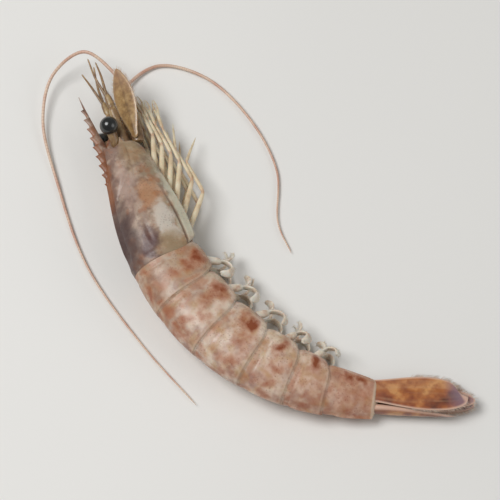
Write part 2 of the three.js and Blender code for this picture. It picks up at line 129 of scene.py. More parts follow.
def on_prawn(s, up, right):
    """A point of the prawn, in millimetres: s along the spine, up to the back, right to the right flank."""
    s, up, right = np.broadcast_arrays(*(np.asarray(value, float) for value in (s, up, right)))
    turn, tilt = heading(s), roll(s)
    out = up * np.cos(tilt) - right * np.sin(tilt)
    rise = up * np.sin(tilt) + right * np.cos(tilt)
    return spine(s) + np.stack([out * np.sin(turn), -out * np.cos(turn), rise], axis=-1)


# The eyeball is round, so the CAD eye's box tells where the spine's start is in the frame.
EYE_RADIUS = 2.6
EYE_PLACE = (-4.2, 2.8, 4.6)
eye_low, eye_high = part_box("eye_right")
eye_middle = np.array([eye_low[0] + EYE_RADIUS * MM, eye_high[1] - EYE_RADIUS * MM, 0]) / MM
ORIGIN = (eye_middle - on_prawn(*EYE_PLACE)) * [1, 1, 0]


def in_frame(points):
    """Millimetres of the prawn to metres of the frame, with nothing below the floor."""
    points = (points + ORIGIN) * MM
    points[..., 2] = np.maximum(points[..., 2], 0)
    return points


def drawn_out(name, material, columns, rows, form):
    """A ball drawn out into a closed skin: form gives each point's place, and marks for its material."""
    bpy.ops.object.select_all(action="DESELECT")
    bpy.ops.mesh.primitive_uv_sphere_add(segments=columns, ring_count=rows, radius=1)
    piece = bpy.context.object
    piece.name = name
    mesh = piece.data
    mesh.materials.append(material)
    ball = np.empty(len(mesh.vertices) * 3, np.float32)
    mesh.vertices.foreach_get("co", ball)
    x, y, z = ball.reshape(-1, 3).T
    row = np.rint(np.arccos(np.clip(z, -1, 1)) / math.pi * rows).astype(int)
    points, marks = form(row, np.arctan2(y, x).astype(float))
    mesh.vertices.foreach_set("co", in_frame(points).astype(np.float32).ravel())
    for mark, values in marks.items():
        mesh.attributes.new(mark, "FLOAT", "POINT").data.foreach_set("value", values.astype(np.float32))
    mesh.update()
    bpy.ops.object.shade_smooth()
    return piece


def fit(piece, slot, *nodes):
    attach(piece, "root")
    if nodes:
        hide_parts(*nodes)


PLEURON_SCALLOP, PLEURON_EDGE = 0.12, 0.77
HEAD_LOBE = 5
BELLY_HOLLOW, BELLY_HOLLOW_SHARE = 2.2, 0.4


def pleuron_depth(s):
    """The lower edge of each side plate is a rounded lobe, and the head's plate ends in half a one."""
    s = np.where(s < HEAD_LENGTH, HEAD_LENGTH + np.minimum(HEAD_LENGTH - s, HEAD_LOBE), s)
    ring = np.clip(np.searchsorted(RING_STARTS, s, side="right") - 1, 0, len(RING_LENGTHS) - 1)
    along = (s - RING_STARTS[ring]) / RING_LENGTHS[ring]
    return 1 - PLEURON_SCALLOP * np.clip(np.abs(2 * along - 1), 0, 1) ** 3


def rounded_corner(girth):
    """How far the rear edge of a side plate draws forward towards its lower corner."""
    return np.clip((girth - 0.5) / (PLEURON_EDGE - 0.5), 0, 1) ** 2


def body_skin(s, angle, inset):
    """A point of the shell, or of a skin that much deeper. The belly is hollow between the side plates."""
    girth = np.abs(angle) / math.pi
    depth = np.where(np.cos(angle) > 0, 1, pleuron_depth(s))
    height = np.maximum(half_height(s) * depth - inset, 0)
    width = np.maximum(half_width(s) - inset, 0)
    up, right = cross_section(height, width, angle)
    up = up + np.minimum(BELLY_HOLLOW, BELLY_HOLLOW_SHARE * height) * eased((girth - 0.775) / 0.05)
    return on_prawn(s, up, right)


# A plate's skin runs from its front over the flank and round its lip: pairs of place and inset, in mm.
CENTRE = 99
HEAD_FRONT = [(-2.4, CENTRE), (-2.2, 3.2), (-1.3, 2.2), (-0.2, 1.6), (0.8, 1.25), (1.4, 1.1)]
HEAD_RIM = [(0.9, 0.75), (0.45, 0.55), (0.25, 0.32), (0.35, 0.1), (0.75, 0)]
LIP = [(0.7, 0.01), (0.92, 0.04), (1.08, 0.08), (1.16, 0.12), (1.17, 0.15), (1.05, 0.17), (-0.4, 0.3),
       (-1.7, 0.7), (-2.8, 3.2), (-2.8, CENTRE)]
FLANK_STEP = 0.42
EDGE_GIRTHS = [0, 0.1, 0.2, 0.3, 0.4, 0.43, 0.45, 0.47, 0.5, 0.6, 0.68, 0.76, 0.82, 1]
EDGE_SETBACKS = [-0.5, 0, 1.2, 1.8, 0.9, -0.4, -1.4, -0.3, 0.7, 1, 2, 4.5, 6, 6.5]
EDGE_REACH = 10
HEAD_CORNER = 3
RIDGE_HEIGHT, RIDGE_GROOVES = 0.5, 0.38
NECK_GROOVE, LIVER_GROOVE = 0.4, 0.3
GILL_LINE, GILL_SLIT, GILL_SWELL = 0.2, 0.35, 0.25
HEM_HEIGHT, REAR_RIM = 0.22, 0.16

head_flank = [(s, 0) for s in np.arange(1.2, HEAD_LENGTH + LIP[0][0], FLANK_STEP)]
head_profile = np.array(HEAD_FRONT + HEAD_RIM + head_flank + [(HEAD_LENGTH + s, inset) for s, inset in LIP])


def head_form(row, angle):
    s, inset = head_profile[row].T
    girth = np.abs(angle) / math.pi
    s = s + np.interp(girth, EDGE_GIRTHS, EDGE_SETBACKS) * np.clip(1 - s / EDGE_REACH, 0, 1) ** 2
    s = s - HEAD_CORNER * rounded_corner(girth) * eased((s - 28) / 9)
    ridge = RIDGE_HEIGHT * hump(angle, 0.075) - RIDGE_GROOVES * hump(np.abs(angle) - 0.19, 0.065)
    ridge = ridge * eased((s - 1) / 4) * eased((36.5 - s) / 5)
    neck = hump(s - 17.5 + (girth - 0.15) * 30, 0.9775)
    neck = neck * eased((girth - 0.11) / 0.05) * eased((0.47 - girth) / 0.06)
    liver = hump(girth - 0.455 + (s - 9) * 0.006, 0.016) * eased((s - 2) / 2) * eased((15 - s) / 5)
    gill = hump(girth - 0.33 - (s - 12) * 0.0018, 0.02) * eased((s - 13) / 4) * eased((35 - s) / 4)
    slit = hump(girth - 0.595 - (s - 12) * 0.0021, 0.012) * eased((s - 15) / 9)
    swell = hump(girth - 0.52, 0.1) * hump(s - 24, 9)
    hem = hump(girth - 0.745, 0.018) * eased((s - 5) / 4)
    rear_rim = hump(s - 36.4, 0.7) * (girth < PLEURON_EDGE)
    grooves = NECK_GROOVE * neck + LIVER_GROOVE * liver + GILL_LINE * gill + GILL_SLIT * slit
    relief = ridge - grooves + GILL_SWELL * swell + HEM_HEIGHT * hem + REAR_RIM * rear_rim
    relief = relief * (inset < 0.02)
    return body_skin(s, angle, inset - relief), {"along": s, "girth": girth}


def colour(code):
    """An sRGB hex colour as the linear values that a shader takes."""
    channels = [int(code[i:i + 2], 16) / 255 for i in (1, 3, 5)]
    return [c / 12.92 if c <= 0.04045 else ((c + 0.055) / 1.055) ** 2.4 for c in channels] + [1]


def add_node(tree, kind, inputs=None, out=0, stops=None, **settings):
    """Adds a shader node with its settings and links, and gives one of its outputs."""
    made = tree.nodes.new("ShaderNode" + kind)
    for name, value in settings.items():
        setattr(made, name, value)
    for i, (place, tint) in enumerate(stops or []):
        ramp = made.color_ramp.elements
        stop = ramp[i] if i < 2 else ramp.new(place)
        stop.position, stop.color = place, colour(tint)
    for socket, value in (inputs or {}).items():
        if isinstance(value, bpy.types.NodeSocket):
            tree.links.new(value, made.inputs[socket])
        else:
            made.inputs[socket].default_value = value
    return made.outputs[out] if made.outputs else made


def blank_material(name, *marks):
    """A new material, what adds nodes to it, and the place and the marks that its patterns follow."""
    material = bpy.data.materials.new(name)
    material.use_nodes = True
    material.node_tree.nodes.clear()
    add = partial(add_node, material.node_tree)
    place = add("TexCoord", out="Object")
    return material, add, place, *(add("Attribute", out="Fac", attribute_name=mark) for mark in marks)


def tinted(add, ground, tint, strength, measure, start, full, fade="SMOOTHSTEP"):
    """Lays a colour over the ground, from nothing where a measure is at its start to full strength."""
    share = add("MapRange", {0: measure, 1: start, 2: full, 3: 0, 4: strength}, interpolation_type=fade)
    return add("Mix", {0: share, 6: ground, 7: colour(tint)}, out=2, data_type="RGBA")


def mottled(add, ground, place, mottles):
    """Lays clouds of colour over the ground, one after the other."""
    for grain, seed, low, high, strength, tint in mottles:
        cloud = add("TexNoise", {"Vector": place, "W": seed, "Scale": 1 / (grain * MM), "Detail": 2},
                    noise_dimensions="4D")
        ground = tinted(add, ground, tint, strength, cloud, low, high, "LINEAR")
    return ground


def strayed(add, clouds, strays, measures):
    """Measures of the shell that clouds shift, so that a colour ends in a soft ragged edge."""
    parts = add("SeparateXYZ", {0: clouds}).node.outputs
    return [add("Math", {0: part, 1: stray, 2: measure}, operation="MULTIPLY_ADD")
            for part, stray, measure in zip(parts, strays, measures)]


def off_centre(add, *spans):
    """How far a point is from a patch's middle, with 1 at the patch's half length or half height."""
    shares = [add("MapRange", {0: measure, 1: middle, 2: middle + half}, clamp=False)
              for measure, middle, half in spans]
    return add("VectorMath", {0: add("CombineXYZ", dict(enumerate(shares)))}, out="Value", operation="LENGTH")


def apart(add, measure, middle):
    """How far a measure is from a middle, on either side of it."""
    step = add("Math", {0: measure, 1: middle}, operation="SUBTRACT")
    return add("Math", {0: step}, operation="ABSOLUTE")


def stippled(add, ground, place, pigment, strength):
    """Pigment cells in the chitin, gathered in clouds. Real ones are half as large and wouldn't show."""
    cells = add("TexVoronoi", {"Vector": place, "Scale": 1 / (0.7 * MM)}, out="Distance")
    dots = add("MapRange", {0: cells, 1: 0.42, 2: 0.1, 3: 0, 4: strength}, interpolation_type="SMOOTHSTEP")
    gathered = add("TexNoise", {"Vector": place, "Scale": 1 / (3.5 * MM), "Detail": 2})
    gathered = add("MapRange", {0: gathered, 1: 0.4, 2: 0.6})
    dots = add("Math", {0: dots, 1: gathered}, operation="MULTIPLY")
    return add("Mix", {0: dots, 6: ground, 7: colour(pigment)}, out=2, data_type="RGBA")


def wet_finish(add, ground, place, grain, roughness, coat, through):
    """Chitin wet from the water: a soft gloss over a fine grain, with light that goes a little way in."""
    grain = add("TexNoise", {"Vector": place, "Scale": 1 / (grain * MM), "Detail": 3})
    worn = add("MapRange", {0: grain, 1: 0.3, 2: 0.7, 3: roughness - 0.08, 4: roughness + 0.1})
    relief = add("Bump", {"Height": grain, "Strength": 0.25, "Distance": 0.15 * MM})
    shader = add("BsdfPrincipled", {
        "Base Color": ground, "Roughness": worn, "IOR": 1.5, "Normal": relief,
        "Subsurface Weight": through, "Subsurface Radius": (1.0, 0.5, 0.35), "Subsurface Scale": 1.6 * MM,
        "Coat Weight": coat, "Coat Roughness": 0.18})
    add("OutputMaterial", {"Surface": shader})


# Wet chitin of the head, grown as a thin plate and half clear, so that the flesh shows through it: brownish
# grey, orange brown along the ridge, dark plum over the rear of the back and in one spot on the flank,
# peach on the cheek, and pale over the gills, with a brown line of painted shade in the groove there.
HEAD_STRAYS = (12, 0.3)
HEAD_MOTTLES = [
    # grain in mm, seed, from and to of the noise, strength, colour
    (4.5, 21, 0.47, 0.6, 0.65, "#BBA491"),
    (3.4, 1, 0.51, 0.63, 0.6, "#5F4236"),
    (2.4, 5, 0.54, 0.66, 0.45, "#C6B19E"),
    (2.8, 9, 0.54, 0.66, 0.5, "#A16238"),
    (0.8, 13, 0.57, 0.7, 0.2, "#6E4D42"),
]
HEAD_PATCHES = [
    # place along, girth, half length in mm, half height in girth, strength, colour
    (14, 0.3, 8, 0.12, 0.65, "#B99F91"),
    (7, 0.04, 16, 0.09, 0.85, "#8A5028"),
    (29, 0.08, 12, 0.2, 0.85, "#453130"),
    (20, 0.49, 6, 0.1, 0.55, "#BD8254"),
    (29, 0.52, 6, 0.085, 0.85, "#CFC6BA"),
    (34, 0.34, 5.5, 0.08, 0.9, "#4C2626"),
    (26, 0.71, 14, 0.1, 0.85, "#CFCAB4"),
    (5, 0.5, 6, 0.16, 0.5, "#A58B66"),
    (36, 0.5, 5, 0.15, 0.4, "#A0855A"),
]
head_chitin, add, place, along, girth = blank_material("wet_head_chitin", "along", "girth")
clouds = add("TexNoise", {"Vector": place, "Scale": 1 / (5 * MM), "Detail": 4, "Roughness": 0.6}, out="Color")
strayed_along, strayed_girth = strayed(add, clouds, HEAD_STRAYS, (along, girth))
ground = add("ValToRGB", {"Fac": strayed_girth}, stops=[
    (0.15, "#6F5347"), (1.0, "#8F836A"), (0.3, "#806558"), (0.46, "#8F7567"), (0.62, "#957F6B"),
    (0.8, "#9A8B72")])
ground = mottled(add, ground, place, HEAD_MOTTLES)
for patch_along, patch_girth, half_length, half_girth, strength, tint in HEAD_PATCHES:
    away = off_centre(add, (strayed_along, patch_along + HEAD_STRAYS[0] / 2, half_length),
                      (strayed_girth, patch_girth + HEAD_STRAYS[1] / 2, half_girth))
    ground = tinted(add, ground, tint, strength, away, 1.3, 0.4)
# A brown line of painted shade follows the gill slit's groove, and grows stronger towards the rear of the
# head.
gill_groove_shade = add("MapRange", {0: along, 1: 12, 2: 36, 3: 0.595, 4: 0.645})
gill_groove_shade = apart(add, girth, gill_groove_shade)
reached = add("MapRange", {0: strayed_along, 1: 20, 2: 33, 3: 0, 4: 0.75}, interpolation_type="SMOOTHSTEP")
ground = tinted(add, ground, "#6B4833", reached, gill_groove_shade, 0.022, 0.006)
ground = tinted(add, ground, "#A89880", 1, girth, 0.77, 0.81, "LINEAR")
ground = stippled(add, ground, place, "#64453C", 0.35)
wet_finish(add, ground, place, grain=0.7, roughness=0.48, coat=0.16, through=0.2)

carapace = drawn_out("carapace_plate", head_chitin, 176, len(head_profile) - 1, head_form)
fit(carapace, "head_shell", "carapace")

# The rostrum is the saw that runs on from the head's ridge, of the same chitin, upright and thin.
# Its nine teeth point forward, and its bare tip stands clear between the feelers.
ROSTRUM_TIP, RIDGE_END = -17, 15
ROSTRUM_ROWS = 180
FIRST_TOOTH, LAST_TOOTH = -13, 13
TEETH, TOOTH_HEIGHT = 9, 1.0
TOOTH_PITCH = (LAST_TOOTH - FIRST_TOOTH) / TEETH
ROSTRUM_THICKNESS = 1.5


def rostrum_form(row, angle):
    s = np.linspace(ROSTRUM_TIP, RIDGE_END, ROSTRUM_ROWS + 1)[row]
    top = np.interp(s, [ROSTRUM_TIP, FIRST_TOOTH, LAST_TOOTH, RIDGE_END], [6.3, 6.3, 7.75, 7.7])
    keel = np.interp(s, [ROSTRUM_TIP, FIRST_TOOTH, -4, 2, RIDGE_END], [6.2, 5.75, 4.6, 3.4, 6])
    tooth = (LAST_TOOTH - s) / TOOTH_PITCH % 1
    saw = np.where(tooth < 0.86, (tooth / 0.86) ** 1.7, eased((0.97 - tooth) / 0.11))
    top = top + np.where((s > FIRST_TOOTH) & (s < LAST_TOOTH), TOOTH_HEIGHT * saw - 0.1, 0)
    thick = ROSTRUM_THICKNESS / 2 * np.clip(1 + 0.75 * s / -ROSTRUM_TIP, 0.25, 1)
    up = (top + keel) / 2 + (top - keel) / 2 * np.cos(angle)
    right = thick * np.sin(angle) * np.abs(np.sin(angle)) ** 0.4
    return on_prawn(s, up, right), {"along": s, "girth": np.where(up > top - 1, 0.02, 0.08)}


rostrum = drawn_out("rostrum_saw", head_chitin, 24, ROSTRUM_ROWS, rostrum_form)
fit(rostrum, "head_shell")

# The tail's six rings: plates of thinner chitin, each a hoop open at the belly that slides in under the
# one before it. The rear edge is a thin lip, and the lower corners are rounded lobes, the pleura.
FLANK_DIP = 0.14
LAST_LIP = [(-0.8, 0), (-0.45, 0.2), (-0.1, 0.7), (0.2, 1.2), (0.4, 1.9), (0.6, CENTRE)]
RING_CORNER = 2.4
RING_KEELS = [0, 0, 0.1, 0.35, 0.5, 0.6]
HINGE_GROOVE, HINGE_KNOB = 0.14, 0.2
PLEURON_SWELL, BELLY_BAR = 0.3, 0.7


def ring_plate(ring):
    start, length = RING_STARTS[ring], RING_LENGTHS[ring]
    end = start + length
    last = ring == len(RING_LENGTHS) - 1
    front = [(start - 2.5, CENTRE), (start - 2.5, 3.4), (start - 1.5, 1), (start, 0.28), (start + 0.7, 0.16)]
    places = np.linspace(start + 1.2, end - 1 if last else end + LIP[0][0], 34)
    flank = [(s, FLANK_DIP * (1 - eased(((s - start) / length - 0.08) / 0.5))) for s in places]
    rear = [(end + s, inset) for s, inset in (LAST_LIP if last else LIP)]
    profile = np.array(front + flank + rear)

    def form(row, angle):
        s, inset = profile[row].T
        girth = np.abs(angle) / math.pi
        along = (s - start) / length
        relief = RING_KEELS[ring] * hump(angle, 0.11) * eased((along - 0.1) / 0.4)
        relief = relief - HINGE_GROOVE * hump(along - 0.25, 0.03) * eased((0.62 - girth) / 0.1)
        relief = relief + PLEURON_SWELL * hump(girth - 0.66, 0.06) * np.sin(math.pi * np.clip(along, 0, 1))
        relief = relief + HINGE_KNOB * hump(girth - 0.5, 0.025) * hump(along - 0.97, 0.06) * (not last)
        relief = relief + BELLY_BAR * hump(along - 0.5, 0.13) * eased((girth - 0.83) / 0.05)
        relief = relief * ((inset < 0.26) & (along > 0.09))
        s = s - RING_CORNER * rounded_corner(girth) * eased((along - 0.45) / 0.55) * (not last)
        return body_skin(s, angle, inset - relief), {"along": ring + along, "girth": girth}

    return drawn_out(f"ring_plate_{ring + 1}", banded_chitin, 144, len(profile) - 1, form)


def clouded(add, place, grain, stops, detail=2, roughness=0.5):
    """A ground whose colours go over into each other in clouds, of a grain in mm."""
    cloud = add("TexNoise", {"Vector": place, "Scale": 1 / (grain * MM), "Detail": detail,
                             "Roughness": roughness})
    return add("ValToRGB", {"Fac": cloud}, stops=stops)


# Wet chitin of the rings, thin and half clear over white flesh: pinkish cream and clouded, with red-brown
# bars that break into soft spots, strongest low on the side plates. Pale lips, and redder at the tail's end.
RING_STRAYS = (0.7, 0.24)
RING_MOTTLES = [
    # grain in mm, seed, from and to of the noise, strength, colour
    (5.0, 2, 0.4, 0.56, 0.9, "#E2CFBE"),
    (4.2, 6, 0.48, 0.68, 0.5, "#B07258"),
    (3.6, 22, 0.5, 0.67, 0.5, "#8A6A66"),
    (3.2, 10, 0.5, 0.68, 0.5, "#BE9C66"),
    (2.0, 14, 0.5, 0.7, 0.45, "#DECBB6"),
    (1.2, 18, 0.52, 0.72, 0.35, "#8F5640"),
]
SPOT_ROWS = [
    # girth, place in the ring, half length in rings, half height in girth, strength
    (0.62, 0.60, 0.29, 0.145, 1.1),
    (0.52, 0.10, 0.15, 0.085, 0.5),
    (0.43, 0.66, 0.18, 0.085, 0.65),
    (0.33, 0.16, 0.15, 0.090, 0.55),
    (0.25, 0.66, 0.18, 0.085, 0.65),
    (0.16, 0.16, 0.16, 0.085, 0.6),
    (0.08, 0.66, 0.22, 0.090, 0.8),
    (0.0, 0.16, 0.22, 0.070, 0.7),
]
banded_chitin, add, place, along, girth = blank_material("wet_banded_chitin", "along", "girth")
sway = add("TexNoise", {"Vector": place, "Scale": 1 / (4 * MM), "Detail": 1.5}, out="Color")
strayed_along, strayed_girth = strayed(add, sway, RING_STRAYS, (along, girth))
ground = add("ValToRGB", {"Fac": strayed_girth}, stops=[
    (0.1, "#926D61"), (0.98, "#B0987A"), (0.26, "#A67E6E"), (0.44, "#B99783"), (0.62, "#C4A690"),
    (0.8, "#CCB89E")])
ground = mottled(add, ground, place, RING_MOTTLES)
ground = tinted(add, ground, "#8A6B4A", 0.5, strayed_along, 2.9, 0.3)
bars = add("MapRange", {0: along, 1: 3.4, 2: 5.3, 3: 0, 4: 0.6}, interpolation_type="SMOOTHSTEP")
for row_girth, row_place, half_length, half_girth, strength in SPOT_ROWS:
    step = add("Math", {0: strayed_along, 1: row_place + RING_STRAYS[0] / 2}, operation="SUBTRACT")
    step = add("Math", {0: step, 1: 0.5, 2: -0.5}, operation="WRAP")
    away = off_centre(add, (step, 0, half_length),
                      (strayed_girth, row_girth + RING_STRAYS[1] / 2, half_girth))
    spots = add("MapRange", {0: away, 1: 1.4, 2: 0.22, 3: 0, 4: strength}, interpolation_type="SMOOTHSTEP")
    bars = add("Math", {0: bars, 1: spots}, operation="MAXIMUM")
broken = add("TexNoise", {"Vector": place, "Scale": 1 / (2.6 * MM), "Detail": 3, "Roughness": 0.6})
broken = add("MapRange", {0: broken, 1: 0.3, 2: 0.62, 3: 0.55, 4: 1})
bars = add("Math", {0: bars, 1: broken}, operation="MULTIPLY", use_clamp=True)
red = add("ValToRGB", {"Fac": bars}, stops=[(0.15, "#C0855C"), (1.0, "#884423"), (0.6, "#A65D35")])
ground = add("Mix", {0: bars, 6: ground, 7: red}, out=2, data_type="RGBA")
ground = stippled(add, ground, place, "#86452E", 0.42)
in_ring = add("Math", {0: along}, operation="FRACT")
ground = tinted(add, ground, "#CDB09A", 0.3, in_ring, 0.1, 0.03)
ground = tinted(add, ground, "#D9C3AA", 0.8, along, 5.9, 5.96)
under = add("MapRange", {0: girth, 1: 0.78, 2: 0.82})
belly = clouded(add, place, 3, [(0.35, "#A8957C"), (0.65, "#CDBCA4")], detail=3)
ground = add("Mix", {0: under, 6: ground, 7: belly}, out=2, data_type="RGBA")
wet_finish(add, ground, place, grain=0.6, roughness=0.46, coat=0.16, through=0.25)

for ring in range(len(RING_LENGTHS)):
    fit(ring_plate(ring), "banded_shell", f"abdomen_{ring + 1}")

# The tail fan: the pointed telson with a groove along its back, and two thin leaf-shaped blades on each
# side, half closed. All are stiff chitin, hinged on the last ring and edged with a fringe of bristles.
LEAF_COLUMNS, LEAF_ROWS = 40, 56
FRINGE_SUNK, FRINGE_LEAN, FRINGE_STRAY = 0.15, 0.55, 0.12
FRINGE_HAIR = 0.06


def unit(vector):
    return vector / np.linalg.norm(vector)


def towards(s, forward, up, right):
    """A direction at a place of the prawn, with forward to the head."""
    ahead = on_prawn(s - forward, 0, 0) - on_prawn(s, 0, 0)
    return on_prawn(s, up, right) - on_prawn(s, 0, 0) + ahead * [1, 1, 0]


def leaf(root, along, across, **sizes):
    """A leaf-shaped blade's place and sizes."""
    forward = unit(along)
    face = unit(np.cross(across, forward))
    made = dict(root=root, forward=forward, face=face, spread=np.cross(forward, face))
    return made | dict(blunt=0.7, slant=0, thinned=0, ribs=(), groove=0, butt=0) | sizes


def leaf_breadth(blade, t):
    fullness = math.log(0.5) / math.log(blade["widest"])
    wide = np.sin(math.pi * np.clip(t, 0, 1) ** fullness) ** blade["blunt"]
    stem = blade["stem"] * np.sqrt(np.clip(t / 0.05, 0, 1))
    return np.where(t < blade["widest"], np.hypot(wide ** 3, stem ** 3) ** (1 / 3), wide)


def leaf_points(blade, t, angle):
    """Points of a blade's skin: t from its root to its tip, and the angle round its middle."""
    breadth = leaf_breadth(blade, t)
    side = np.cos(angle)
    ahead = t * blade["length"] + blade["slant"] * side * t ** 4
    aside = blade["width"] / 2 * breadth * side
    middle = blade["root"] + np.outer(ahead, blade["forward"]) + np.outer(aside, blade["spread"])
    middle[:, 2] = np.maximum(middle[:, 2], blade["thickness"] / 2 + 0.05)
    thick = 1 - blade["thinned"] * t + blade["butt"] * eased((0.3 - t) / 0.2)
    skin = blade["thickness"] / 2 * np.sin(angle) * np.minimum(1, 4 * breadth) * thick
    raised = np.sign(np.sin(angle)) * eased(t / 0.1) * eased((1 - t) / 0.25)
    for where, height, width in blade["ribs"]:
        skin = skin + raised * height * hump(side - where, width)
    skin = skin - np.clip(np.sin(angle), 0, 1) * blade["groove"] * hump(side, 0.3) * eased((1 - t) / 0.4)
    return middle + np.outer(skin, blade["face"])


def bristles(name, material, roots, directions, lengths, thickness):
    """Fine tapered hairs: one cone is modelled and copied to every root."""
    bpy.ops.object.select_all(action="DESELECT")
    bpy.ops.mesh.primitive_cone_add(vertices=4, radius1=1, radius2=0, depth=1, location=(0, 0, 0.5))
    bpy.ops.object.transform_apply()
    piece = bpy.context.object
    piece.name = name
    hair = np.array([vertex.co for vertex in piece.data.vertices])
    faces = [tuple(face.vertices) for face in piece.data.polygons]
    points, sides = [], []
    for root, direction, length in zip(roots, directions, lengths):
        direction = unit(direction)
        across = unit(np.cross(direction, (0.31, 0.52, 0.8)))
        axes = [across * thickness, np.cross(direction, across) * thickness, direction * length]
        sides += [tuple(len(points) + corner for corner in face) for face in faces]
        points += list(root + hair @ axes)
    piece.data.clear_geometry()
    piece.data.from_pydata(in_frame(np.array(points)).tolist(), [], sides)
    piece.data.materials.append(material)
    bpy.ops.object.shade_smooth()
    return piece


def joined(piece, *others):
    bpy.ops.object.select_all(action="DESELECT")
    for other in others:
        other.select_set(True)
    piece.select_set(True)
    bpy.context.view_layer.objects.active = piece
    bpy.ops.object.join()
    return piece


def fringe(name, blade, start, count, length, seed):
    """Bristles round a blade's edge, which lean towards its tip."""
    draw = random.Random(seed)
    roots, directions, lengths = [], [], []
    for edge in (1, -1):
        t = np.sort([start + (0.995 - start) * draw.random() ** 0.8 for _ in range(count)])
        angle = np.full(count, 0.0 if edge > 0 else math.pi)
        here = leaf_points(blade, t, angle)
        ahead = leaf_points(blade, np.minimum(t + 0.004, 1), angle)
        for i in range(count):
            rim = unit(ahead[i] - here[i] + 1e-6 * blade["forward"])
            outward = np.cross(rim, blade["face"])
            outward = outward * np.sign(np.dot(outward, blade["spread"]) * edge + 1e-9)
            outward = unit(outward + 0.25 * blade["forward"] * t[i])
            stray = np.array([draw.uniform(-1, 1) for _ in range(3)]) * FRINGE_STRAY
            roots.append(here[i] - FRINGE_SUNK * outward)
            directions.append(outward + FRINGE_LEAN * blade["forward"] + stray)
            lengths.append(length * draw.uniform(0.7, 1.1) * (0.55 + 0.45 * t[i]))
    return bristles(name, bristle_chitin, roots, directions, lengths, FRINGE_HAIR)


def fringed_leaf(name, material, blade, start, count, length, seed):
    """A blade with a fringe from a start on its edge: so many bristles a side, of a length in mm."""

    def form(row, angle):
        t = 0.5 - 0.5 * np.cos(math.pi * row / LEAF_ROWS)
        inside = (1 - np.abs(np.cos(angle))) * leaf_breadth(blade, t) * blade["width"] / 2
        margin = np.minimum(inside, (1 - t) * blade["length"])
        return leaf_points(blade, t, angle), {"along": t, "margin": margin, "across": np.cos(angle)}

    skin = drawn_out(name, material, LEAF_COLUMNS, LEAF_ROWS, form)
    return joined(skin, fringe(f"{name}_fringe", blade, start, count, length, seed))


# Tail chitin: thin, wet and half clear, orange brown with darker blotches and pale streaks along the ribs,
# redder at the root, with pale pink rims and a grey-violet cast at the tips.
tail_chitin, add, place, along, margin, across = blank_material(
    "wet_tail_chitin", "along", "margin", "across")
ground = clouded(add, place, 6, [
    (0.36, "#CC935A"), (0.66, "#5F3321"), (0.45, "#B06C38"), (0.55, "#8C4A28")], detail=3)
streak = add("CombineXYZ", {0: across, 1: along})
streak = add("Mapping", {0: streak, "Scale": (1.3, 0.5, 1)})
streak = add("TexNoise", {"Vector": streak, "Scale": 2, "Detail": 1, "Distortion": 0.6})
ground = tinted(add, ground, "#C9A27C", 0.3, streak, 0.45, 0.65, "LINEAR")
ground = tinted(add, ground, "#9C5F48", 0.6, along, 0.4, 0.08)
dots = add("TexNoise", {"Vector": place, "Scale": 1 / (1.6 * MM), "Detail": 3})
ground = tinted(add, ground, "#874428", 0.4, dots, 0.5, 0.66, "LINEAR")
ground = tinted(add, ground, "#8D7784", 0.75, along, 0.8, 0.98)
ground = tinted(add, ground, "#DDB7A2", 0.85, margin, 0.75, 0.1)
wet_finish(add, ground, place, grain=0.5, roughness=0.36, coat=0.5, through=0.25)


def hair_chitin(name, dark, pale):
    """Single fine hairs of clear chitin, which the light goes through."""
    material, add, place = blank_material(name)
    ground = clouded(add, place, 2, [(0.35, dark), (0.65, pale)])
    wet_finish(add, ground, place, grain=0.5, roughness=0.5, coat=0, through=0.4)
    return material


# The fringes' bristles are clear chitin, pinkish cream where they lie together.
bristle_chitin = hair_chitin("bristle_chitin", "#CBA48C", "#EAD3BE")

TELSON = dict(length=24, width=4.2, thickness=3, widest=0.28, stem=0.6, thinned=0.85, groove=0.45)
TELSON_TUCK = 3
telson_root = on_prawn(TAIL_ROOT - TELSON_TUCK, 3.1, 0)
telson_tip = on_prawn(TAIL_ROOT + TELSON["length"], 1.9, 0)
telson_leaf = leaf(telson_root, telson_tip - telson_root, towards(TAIL_ROOT, 0, 0, 1), **TELSON)
telson = fringed_leaf("telson_spike", tail_chitin, telson_leaf, 0.45, 70, 1.0, seed=1)
fit(telson, "tail_blade", "telson")

INNER_BLADE = dict(length=29, width=6.4, widest=0.6, stem=0.7, blunt=0.5, thickness=0.6, butt=0.8,
                   ribs=[(0.0, 0.22, 0.09)])
OUTER_BLADE = dict(length=27.5, width=9.4, widest=0.68, stem=0.64, blunt=0.3, slant=1.6, thickness=0.6,
                   butt=1, ribs=[(0.1, 0.22, 0.07), (0.62, 0.16, 0.06)])
BLADES = [
    # name, sizes, how far its root is tucked in, up, fan in degrees, layer at root and tip
    ("inner_right", INNER_BLADE, 3, -1.5, -2.5, 1, 0.9),
    ("inner_left", INNER_BLADE, 3, -1.5, -1.5, -1, -1.1),
    ("outer_right", OUTER_BLADE, 5, -0.7, -5.5, 2.3, 2.2),
    ("outer_left", OUTER_BLADE, 3, -1.2, -7, -2.3, -2.7),
]
for order, (name, sizes, tuck, up, fan, layer, tip_layer) in enumerate(BLADES):
    length = sizes["length"]
    root = on_prawn(TAIL_ROOT - tuck, up, layer)
    tip = on_prawn(TAIL_ROOT - tuck + length, up + length * math.tan(math.radians(fan)), tip_layer)
    tail_leaf = leaf(root, tip - root, towards(TAIL_ROOT, 0, 1, 0), **sizes)
    tail_blade = fringed_leaf(f"tail_blade_{name}", tail_chitin, tail_leaf, 0.5, 130, 1.6, seed=10 + order)
    fit(tail_blade, "tail_blade", f"uropod_{name}")

# The eyes: a glossy black ball of cornea on a short brown stalk, one each side of the rostrum.
# The ball is pulled out at the back into the stalk, which goes in under the front edge of the carapace.
SIDES = {"right": 1, "left": -1}
EYE_KNEE, EYE_ROOT = (-1.9, 2.3, 3.1), (1.2, 1.6, 1.2)

